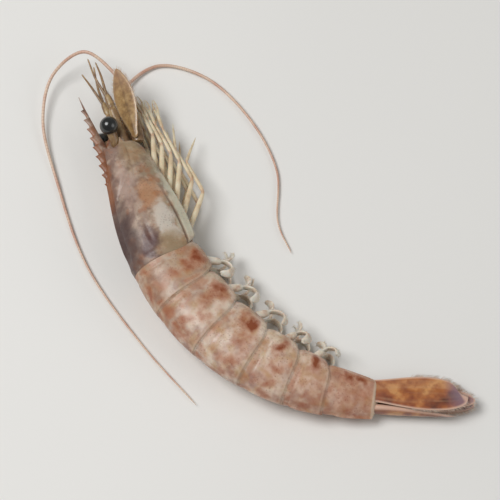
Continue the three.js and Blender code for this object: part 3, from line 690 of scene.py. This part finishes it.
# Wet cornea: nearly black and glossy, dulled a little by its facets, which are drawn coarser than real ones.
cornea, add, place = blank_material("wet_cornea")
facets = add("TexVoronoi", {"Vector": place, "Scale": 1 / (0.22 * MM)}, out="Distance")
ground = clouded(add, place, 2, [(0.35, "#0E1010"), (0.7, "#2A2C2A")])
relief = add("Bump", {"Height": facets, "Strength": 0.12, "Distance": 0.05 * MM})
shader = add("BsdfPrincipled", {
    "Base Color": ground, "Roughness": 0.22, "IOR": 1.5, "Normal": relief, "Coat Weight": 0.6,
    "Coat Roughness": 0.08})
add("OutputMaterial", {"Surface": shader})

# Chitin of the stalks and feeler roots: wet, olive brown, streaked lengthwise with cream.
feeler_chitin, add, place, along, across = blank_material("wet_feeler_chitin", "along", "across")
streak = add("CombineXYZ", {0: across, 1: along})
streak = add("TexNoise", {"Vector": streak, "Scale": 1.6, "Detail": 1})
mottle = add("TexNoise", {"Vector": place, "Scale": 1 / (1.5 * MM), "Detail": 4, "Roughness": 0.6})
streak = add("Math", {0: mottle, 1: 0.8, 2: streak}, operation="MULTIPLY_ADD")
ground = add("ValToRGB", {"Fac": streak}, stops=[
    (0.72, "#6C5139"), (1.1, "#A98F66"), (0.86, "#836646"), (0.98, "#957954")])
wet_finish(add, ground, place, grain=0.5, roughness=0.4, coat=0.4, through=0.2)


def on_side(side, places):
    """Points of one side of the prawn, from places of its right side."""
    return [on_prawn(s, up, right * side) for s, up, right in places]


for name, side in SIDES.items():
    middle, knee, root = (Vector(in_frame(point)) for point in on_side(side, [EYE_PLACE, EYE_KNEE, EYE_ROOT]))
    inward = (knee - middle).normalized()
    bpy.ops.object.select_all(action="DESELECT")
    bpy.ops.mesh.primitive_uv_sphere_add(segments=32, ring_count=20, radius=EYE_RADIUS * MM, location=middle,
                                         rotation=inward.to_track_quat("Z", "Y").to_euler())
    eye = bpy.context.object
    eye.name = f"eye_ball_{name}"
    bpy.ops.object.transform_apply()
    eye.data.materials.append(cornea)
    eye.data.materials.append(feeler_chitin)
    bpy.ops.object.mode_set(mode="EDIT")
    bpy.ops.mesh.select_mode(type="FACE")
    bpy.ops.mesh.select_all(action="DESELECT")
    bpy.ops.object.mode_set(mode="OBJECT")
    for face in eye.data.polygons:
        face.select = (face.center - middle).dot(inward) > 0.78 * EYE_RADIUS * MM
    pulls = [(middle.lerp(knee, 0.8), 0.8), (knee, 1.1), (knee.lerp(root, 0.5), 0.95), (root, 1)]
    for target, share in pulls:
        bpy.ops.object.mode_set(mode="OBJECT")
        picked = [face.center for face in eye.data.polygons if face.select]
        here = sum(picked, Vector()) / len(picked)
        bpy.ops.object.mode_set(mode="EDIT")
        bpy.ops.mesh.extrude_region_move(TRANSFORM_OT_translate={"value": target - here})
        bpy.ops.transform.resize(value=(share,) * 3, center_override=target)
    bpy.ops.object.mode_set(mode="OBJECT")
    for face in eye.data.polygons:
        face.material_index = (face.center - middle).dot(inward) > 0.8 * EYE_RADIUS * MM
    smooth = eye.modifiers.new("smooth", "SUBSURF")
    smooth.levels = smooth.render_levels = 1
    bpy.ops.object.modifier_apply(modifier="smooth")
    bpy.ops.object.shade_smooth()
    fit(eye, "eye", f"eye_{name}")

# The small feelers: a stalk of three flattened joints of chitin under each eye, with two short whips at its
# end. They are hinged to each other and to the head, and the whips are fine.
STALK_COURSE = [(0.8, -0.9, 1.5), (-7.5, -1, 1.9), (-15, -0.9, 2.3)]
STALK_JOINTS = [(0, 1.3), (0.05, 1.5), (0.36, 1.35), (0.42, 1.05), (0.44, 1.0), (0.48, 1.3), (0.68, 1.15),
                (0.73, 0.85), (0.75, 0.82), (0.79, 1.05), (0.93, 0.95), (0.98, 0.7), (1, 0.3)]
WHIP_SPREADS = (1.6, -1.4)
WHIP_TAPER = [(0, 0.45), (0.4, 0.36), (0.97, 0.2), (1, 0.05)]


def smooth_path(points, count, tight):
    """Evenly spaced points on a smooth curve through the given ones, or on straight runs with tight knees."""
    p = np.vstack([2 * points[0] - points[1], points, 2 * points[-1] - points[-2]])
    gaps = np.diff(p, axis=0)
    d = np.linalg.norm(gaps, axis=1) ** 0.5
    t = np.linspace(0, 1, 40, endpoint=False)[:, None]

    def slope(i):
        """The curve's direction at a point, from the ones on each side of it."""
        if tight:
            return tight * (p[i + 1] - p[i - 1])
        return gaps[i - 1] / d[i - 1] - (p[i + 1] - p[i - 1]) / (d[i - 1] + d[i]) + gaps[i] / d[i]

    bends = []
    for i in range(1, len(p) - 2):
        reach = 1 if tight else d[i]
        ends = p[i] * (1 + 2 * t) * (1 - t) ** 2 + p[i + 1] * t * t * (3 - 2 * t)
        bends.append(ends + t * (1 - t) * reach * (slope(i) * (1 - t) - slope(i + 1) * t))
    curve = np.vstack(bends + [points[-1:]])
    gone = np.concatenate([[0], np.cumsum(np.linalg.norm(np.diff(curve, axis=0), axis=1))])
    even = np.linspace(0, gone[-1], count)
    return np.stack([np.interp(even, gone, curve[:, axis]) for axis in range(3)], axis=1)


def limb(name, material, points, girths, rows, columns=12, flat=1, floor=0.3, tight=None):
    """A jointed or plain tube along a smooth curve. Girths are pairs of share of the length and radius."""
    points = np.array(points, float)
    points[:, 2] = np.maximum(points[:, 2], floor)
    path = smooth_path(points, rows - 1, tight)
    tangents = np.gradient(path, axis=0)
    tangents /= np.linalg.norm(tangents, axis=1)[:, None]
    normals = np.empty_like(path)
    normal = np.array([0.0, 0.0, 1.0])
    for i, tangent in enumerate(tangents):
        normal = unit(normal - tangent * np.dot(normal, tangent))
        normals[i] = normal
    others = np.cross(normals, tangents)
    share = np.linspace(0, 1, rows - 1)
    radius = np.interp(share, *zip(*girths))

    def form(row, angle):
        step = np.clip(row - 1, 0, rows - 2)
        thick = np.where((row == 0) | (row == rows), 0, radius[step])
        place = path[step] + normals[step] * (flat * thick * np.cos(angle))[:, None]
        place = place + others[step] * (thick * np.sin(angle))[:, None]
        return place, {"along": share[step], "across": np.abs(angle) / math.pi}

    return drawn_out(name, material, columns, rows, form), path


for name, side in SIDES.items():
    stalk, _ = limb(f"antennule_stalk_{name}", feeler_chitin, on_side(side, STALK_COURSE), STALK_JOINTS,
                    columns=20, rows=72, flat=0.8)
    whips = []
    for order, spread in enumerate(WHIP_SPREADS):
        course = [(-14, -0.7, 2.2), (-20.5, 0.6 * spread - 0.4, 2.6), (-26, spread - 0.4, 2.6 + spread)]
        whip, _ = limb(f"antennule_whip_{order}_{name}", feeler_chitin, on_side(side, course), WHIP_TAPER,
                       columns=10, rows=40)
        whips.append(whip)
    fit(joined(stalk, *whips), "feeler", f"antennule_{name}")

# The antennal scales: a stiff oval blade of chitin beside each long feeler's root, raised along its middle
# and fringed at its edges. It is hinged low on the front of the head.
SCALE_COURSE = [(0.8, -3.5, 4.1), (-20, -4.6, 6.6)]
SCALE = dict(length=21, width=6.6, thickness=0.65, widest=0.55, stem=0.35, ribs=[(0.1, 0.06, 0.12)])

# Scale chitin: thin, wet and half clear, straw brown and speckled, with a faint darker midrib, a pinkish
# tip and paler rims.
scale_chitin, add, place, along, margin, across = blank_material(
    "wet_scale_chitin", "along", "margin", "across")
ground = clouded(add, place, 1.6, [(0.34, "#B19262"), (0.66, "#7F603A"), (0.5, "#99784A")], detail=4,
                 roughness=0.6)
midrib = apart(add, across, SCALE["ribs"][0][0])
ground = tinted(add, ground, "#63472F", 0.3, midrib, 0.2, 0.03)
ground = tinted(add, ground, "#A98672", 0.5, along, 0.55, 1)
ground = tinted(add, ground, "#C2A785", 0.35, margin, 0.9, 0.1)
wet_finish(add, ground, place, grain=0.5, roughness=0.36, coat=0.5, through=0.25)

for order, (name, side) in enumerate(SIDES.items()):
    root, tip = on_side(side, SCALE_COURSE)
    scale_leaf = leaf(root, tip - root, towards(0, 0, -0.62, 0.78 * side), **SCALE)
    scale = fringed_leaf(f"antennal_scale_{name}_blade", scale_chitin, scale_leaf, 0.4, 90, 1.3,
                         seed=20 + order)
    fit(scale, "feeler", f"antennal_scale_{name}")

# The long feelers: a stout jointed root of chitin, hinged low on the head, and a whip longer than the head,
# ringed and limp when raw. The right one lies back along the prawn's back, the left one before its legs.
ROOT_COURSE = [(1.4, -4.5, 2.4), (-4, -5.4, 2.8), (-10, -6, 3)]
ROOT_JOINTS = [(0, 1.5), (0.1, 1.75), (0.4, 1.6), (0.46, 1.3), (0.5, 1.25), (0.55, 1.5), (0.9, 1.3),
               (0.97, 0.95), (1, 0.4)]
WHIP_START = [(-9, -5.9, 3), (-13, -6.1, 3.1)]
WHIP_RAISED = {"right": [(-21, -4.5, 3.6), (-29, 1, 3)], "left": [(-19, -10, -3)]}
WHIP_LAID = {
    # place, how far towards the back, height above the floor
    "right": [(-28, 10, 5), (-17, 17, 2.5), (3, 19.5, 1), (28, 20, 0.8), (50, 17, 0.8), (68, 18.5, 0.8)],
    "left": [(-22, -19, 0.9), (-14, -30, 0.9), (2, -37, 0.9), (20, -38.5, 0.8), (38, -33, 0.8),
             (56, -31, 0.8)],
}
LONG_WHIP_TAPER = [(0, 0.7), (0.06, 0.5), (0.5, 0.38), (0.98, 0.2), (1, 0.05)]
WHIP_RINGS = 150

# The whip's chitin is pinkish cream with a faint darker ring at each of its hundreds of short joints,
# drawn coarser than the real ones so that they show.
whip_chitin, add, place, along = blank_material("wet_whip_chitin", "along")
ringed = add("Math", {0: along, 1: WHIP_RINGS}, operation="MULTIPLY")
ringed = add("Math", {0: ringed}, operation="FRACT")
ground = clouded(add, place, 6, [(0.35, "#C49A86"), (0.7, "#DCC6B0")], detail=3)
ground = tinted(add, ground, "#A9785F", 0.45, ringed, 0.7, 0.95, "LINEAR")
wet_finish(add, ground, place, grain=0.4, roughness=0.42, coat=0.2, through=0.15)


def beside_prawn(s, up, height):
    turn = heading(s)
    point = spine(np.asarray(s, float)) + np.array([up * math.sin(turn), -up * math.cos(turn), 0])
    point[2] = height
    return point


for name, side in SIDES.items():
    stalk, _ = limb(f"antenna_root_{name}", feeler_chitin, on_side(side, ROOT_COURSE), ROOT_JOINTS,
                    columns=20, rows=56, flat=0.85)
    raised = [on_prawn(*place) for place in WHIP_RAISED[name]]
    laid = [beside_prawn(*place) for place in WHIP_LAID[name]]
    whip, _ = limb(f"antenna_whip_{name}", whip_chitin, on_side(side, WHIP_START) + raised + laid,
                   LONG_WHIP_TAPER, rows=320)
    fit(joined(stalk, whip), "feeler", f"antenna_{name}")

# The legs: a pair of hairy mouth legs and five pairs of thin walking legs of cream chitin, jointed at the
# knees and folded forward under the head. The first three pairs end in a small pair of pincers.
LEG_LENGTHS = [24, 27, 30, 34, 31, 32]
LEG_SHARES = (0.38, 0.33, 0.29)
LEG_RIGHTS = (3.6, 3, 2)
LEG_FLOORS = {"right": 3, "left": 0.9}
LEG_ROOT, LEG_SPACING, LEG_ROOT_DEPTH = 9.5, 4.3, 0.82
KNEE_DEPTH, KNEE_DEPTH_STEP = 8.6, 1.45
LEG_LIE = -4
FOOT_TURN, FOOT_TURN_STEP, FOOT_STRAY = -7, 7.5, 2.5
KNEE, ANKLE, PALM = 0.41, 0.72, 0.85
LEG_GIRTHS = [(0, 0.75), (0.1, 0.8), (0.3, 0.7), (KNEE - 0.03, 0.59), (KNEE - 0.01, 0.45),
              (KNEE + 0.01, 0.45), (KNEE + 0.04, 0.56), (0.6, 0.49), (ANKLE - 0.03, 0.44),
              (ANKLE - 0.01, 0.33), (ANKLE + 0.01, 0.33)]
PINCER_END = [(ANKLE + 0.04, 0.5), (0.84, 0.52), (0.885, 0.36), (0.895, 0.08), (1, 0.04)]
CLAW_END = [(ANKLE + 0.03, 0.44), (0.86, 0.36), (0.885, 0.27), (0.91, 0.31), (0.97, 0.15), (1, 0.04)]
FINGER_GIRTHS = [(0, 0.3), (0.5, 0.24), (0.95, 0.1), (1, 0.03)]
FINGER_SPREAD = 0.5
LEG_HAIR = 0.05

# Leg chitin: satin cream with a pinkish brown tinge at the joints.
leg_chitin, add, place, along = blank_material("satin_leg_chitin", "along")
ground = clouded(add, place, 3, [(0.3, "#C4A987"), (0.7, "#E6DAC0"), (0.5, "#DCCBAB")], detail=4)
for joint in (KNEE, ANKLE):
    ground = tinted(add, ground, "#B98A6C", 0.6, apart(add, along, joint), 0.04, 0)
wet_finish(add, ground, place, grain=0.4, roughness=0.45, coat=0.15, through=0.2)

# The legs' and swimmerets' hairs are paler bristles, cream like the limbs that they stand on.
pale_bristle = hair_chitin("pale_bristle_chitin", "#DAC6AE", "#F0E4D2")


def pincer_fingers(name, palm, end):
    """Two thin fingers that bow out from the palm and nearly meet at the end."""
    wide = unit(np.cross(unit(end - palm), (0, 0, 1)))
    fingers = []
    for finger, spread in enumerate((FINGER_SPREAD, -FINGER_SPREAD)):
        course = [palm + wide * spread * 0.5, palm + (end - palm) * 0.55 + wide * spread * 1.1,
                  end + wide * spread * 0.35]
        claw, _ = limb(f"finger_{finger}_{name}", leg_chitin, course, FINGER_GIRTHS, columns=8, rows=16,
                       flat=0.9)
        fingers.append(claw)
    return fingers


for name, side in SIDES.items():
    for order, length in enumerate(LEG_LENGTHS):
        thigh, shin, foot = (share * length for share in LEG_SHARES)
        s = LEG_ROOT + LEG_SPACING * order
        up = -LEG_ROOT_DEPTH * half_height(s)
        knees = on_side(side, [(s + 0.4, up + 1.5, 2.6), (s, up, 2.8)])
        drop = up + KNEE_DEPTH + KNEE_DEPTH_STEP * order
        lie = LEG_LIE + math.sin(2.4 * order + side)
        turn = lie + FOOT_TURN + order * (FOOT_TURN_STEP + FOOT_STRAY * math.sin(1.3 * order + side))
        leans = (math.asin(drop / thigh), math.radians(lie), math.radians(turn))
        for reach, lean, right in zip((thigh, shin, foot), leans, LEG_RIGHTS):
            s -= reach * math.cos(lean)
            up -= reach * math.sin(lean)
            knees.append(on_prawn(s, up, right * side))
        mouth_leg, pincers = order == 0, 1 <= order <= 3
        leg, path = limb(f"leg_{order}_{name}_limb", leg_chitin, knees,
                         LEG_GIRTHS + (PINCER_END if pincers else CLAW_END), columns=14, rows=96, flat=0.8,
                         floor=LEG_FLOORS[name], tight=0.15)
        fingers = []
        if pincers:
            fingers = pincer_fingers(f"{order}_{name}", path[int(PALM * len(path))], path[-1])
        hairs, hair_start = (170, 0.3) if mouth_leg else (26, 0.6)
        draw = random.Random(100 * order + side)
        spots = [draw.uniform(hair_start, 0.97) for _ in range(hairs)]
        roots = [path[int(spot * (len(path) - 1))] for spot in spots]
        forward = unit(path[-1] - path[0])
        outs = [forward * 0.8 + np.array([draw.uniform(-1, 1) for _ in range(3)]) for _ in spots]
        lengths = [draw.uniform(0.9, 1.9) for _ in spots]
        hair = bristles(f"leg_hair_{order}_{name}", pale_bristle, roots, outs, lengths, LEG_HAIR)
        fit(joined(leg, *fingers, hair), "leg", f"maxilliped_{name}" if mouth_leg else f"leg_{order}_{name}")

# The swimmerets: a pair under each of the first five rings, a short stalk that carries two thin paddles
# of soft skin with fringes. Raw and limp, they roll up: the long one hooks back, the short one forward.
SWIMMERET_LENGTHS = [16, 16, 15, 13, 11]
SWIMMERET_DROOP = {"right": -0.22, "left": -0.1}
SWIMMERET_ROOT, SWIMMERET_DEPTH, SWIMMERET_ASIDE = 0.42, 0.68, 0.4
STALK_SHARE = 0.41
STALK_GIRTHS = [(0, 1.0), (0.3, 1.2), (0.8, 1.05), (0.93, 0.85), (1, 0.3)]
PADDLES = [
    # start on the stalk and length as shares, turn in degrees, radius across, how much taller than wide
    (0.41, 0.59, 190, 0.42, 3.0),
    (0.35, 0.45, -110, 0.36, 2.8),
]
PADDLE_TAPER = np.array([(0, 0.8), (0.2, 1), (0.75, 1), (0.95, 0.6)])
PADDLE_TIP = (1, 0.08)
TURN_STRAY = 30
PADDLE_HAIRS, PADDLE_HAIR = 120, 0.04

# Swimmeret skin: thin and satin, cream white with pinkish clouds.
paddle_skin, add, place = blank_material("satin_swimmeret_skin")
ground = clouded(add, place, 2.6, [
    (0.3, "#BFA08A"), (0.72, "#EBE4D7"), (0.42, "#D8C6B2"), (0.55, "#E3D9C9")], detail=4, roughness=0.6)
wet_finish(add, ground, place, grain=0.5, roughness=0.45, coat=0.15, through=0.25)

for name, side in SIDES.items():
    for ring, length in enumerate(SWIMMERET_LENGTHS):
        pair = f"{ring + 1}_{name}"
        s = RING_STARTS[ring] + SWIMMERET_ROOT * RING_LENGTHS[ring]
        root = on_prawn(s, -SWIMMERET_DEPTH * half_height(s), SWIMMERET_ASIDE * half_width(s) * side)
        outward = unit(towards(s, -0.5, -1, SWIMMERET_DROOP[name]))
        face = unit(np.cross(towards(s, -0.85, 0.45, 0.45 * side), outward))
        tailward = np.cross(outward, face)
        draw = random.Random(300 + 10 * ring + side)
        elbow = root + outward * STALK_SHARE * length
        stalk, _ = limb(f"swimmeret_stalk_{pair}", paddle_skin, [root - outward, (root + elbow) / 2, elbow],
                        STALK_GIRTHS, columns=16, rows=32, floor=1.1)
        pieces = []
        for branch, (start, share, turn, radius, tall) in enumerate(PADDLES):
            turned = math.radians(turn + TURN_STRAY * math.sin(2.3 * ring + side))
            bend = share * length / turned
            lift = draw.uniform(-0.6, 1.2)
            angle = np.linspace(0, turned, 12)[:, None]
            arc = root + outward * (start * length + bend * np.sin(angle))
            arc = arc + tailward * bend * (1 - np.cos(angle)) + [0, 0, lift] * (angle / turned) ** 2
            girths = [*(PADDLE_TAPER * [1, radius]), PADDLE_TIP]
            paddle, path = limb(f"paddle_{branch}_{pair}", paddle_skin, [arc[0] - outward * 0.6, *arc],
                                girths, columns=16, rows=72, flat=tall, floor=1.3)
            spots = [draw.uniform(0.2, 1) for _ in range(PADDLE_HAIRS)]
            roots, outs = [], []
            for spot in spots:
                i = min(int(spot * (len(path) - 1)), len(path) - 2)
                ahead = unit(path[i + 1] - path[i])
                edge = unit(np.cross(ahead, (0, 0, 1))) * draw.choice((1, -1))
                aside = edge * 0.6 * radius * (1.1 - spot)
                roots.append(path[i] + aside + [0, 0, draw.uniform(-0.5, 0.9) * radius])
                outs.append(edge + ahead * 0.9 + [0, 0, draw.uniform(-0.5, 0.5)])
            lengths = [draw.uniform(0.8, 1.4) * (1.15 - 0.4 * spot) for spot in spots]
            pieces += [paddle, bristles(f"paddle_fringe_{branch}_{pair}", pale_bristle, roots, outs, lengths,
                                        PADDLE_HAIR)]
        fit(joined(stalk, *pieces), "swimmeret", f"pleopod_{pair}")

# The floor is a plain pale table top of painted board, with a matt finish and a faintly clouded tone.
# It is wide enough to fill every view, and the prawn lies loose on it.
bpy.ops.object.select_all(action="DESELECT")
bpy.ops.mesh.primitive_plane_add(size=6, location=(0, 0, 0))
table_top = bpy.context.object
table_top.name = "table_top"
matt_board, add, place = blank_material("matt_board")
ground = clouded(add, place, 250, [(0.3, "#E6E5E2"), (0.7, "#EAE9E6")])
shader = add("BsdfPrincipled", {"Base Color": ground, "Roughness": 0.7})
add("OutputMaterial", {"Surface": shader})
table_top.data.materials.append(matt_board)

# Soft studio light: a wide round panel overhead and a weaker one from the other side, in a pale room.
# The wet shell gets broad soft highlights from them, and the shadows stay light.
LAMPS = [
    # name, place and width in metres, watts
    ("key_panel", (-0.35, -0.25, 0.75), 0.5, 5),
    ("fill_panel", (0.6, 0.3, 0.5), 0.6, 1.2),
]
for name, spot, width, watts in LAMPS:
    bpy.ops.object.light_add(type="AREA", location=spot)
    lamp = bpy.context.object
    lamp.name = name
    lamp.data.shape, lamp.data.size, lamp.data.energy = "DISK", width, watts
    lamp.rotation_euler = (-Vector(spot)).to_track_quat("-Z", "Y").to_euler()
room = bpy.data.worlds.new("pale_room")
room.use_nodes = True
room.node_tree.nodes["Background"].inputs["Color"].default_value = colour("#F2F1EE")
room.node_tree.nodes["Background"].inputs["Strength"].default_value = 0.3
bpy.context.scene.world = room
bpy.context.scene.view_settings.view_transform = "Standard"

# The camera looks down on the right flank from a little behind the back, as the photograph does.
# Its long lens stands far off, so that the near and far ends keep their proportions.
VIEW_AZIMUTH, VIEW_ELEVATION = math.radians(41), math.radians(68)
VIEW_DISTANCE = 0.62
LENS = 165
AIM = Vector((0.002, 0.004, 0.006))
bpy.ops.object.camera_add()
camera = bpy.context.object
camera.name = "camera"
camera.data.lens = LENS
back_off = Vector((math.sin(VIEW_AZIMUTH) * math.cos(VIEW_ELEVATION),
                   -math.cos(VIEW_AZIMUTH) * math.cos(VIEW_ELEVATION), math.sin(VIEW_ELEVATION)))
camera.location = AIM + back_off * VIEW_DISTANCE
camera.rotation_euler = (-back_off).to_track_quat("-Z", "Y").to_euler()
bpy.context.scene.camera = camera
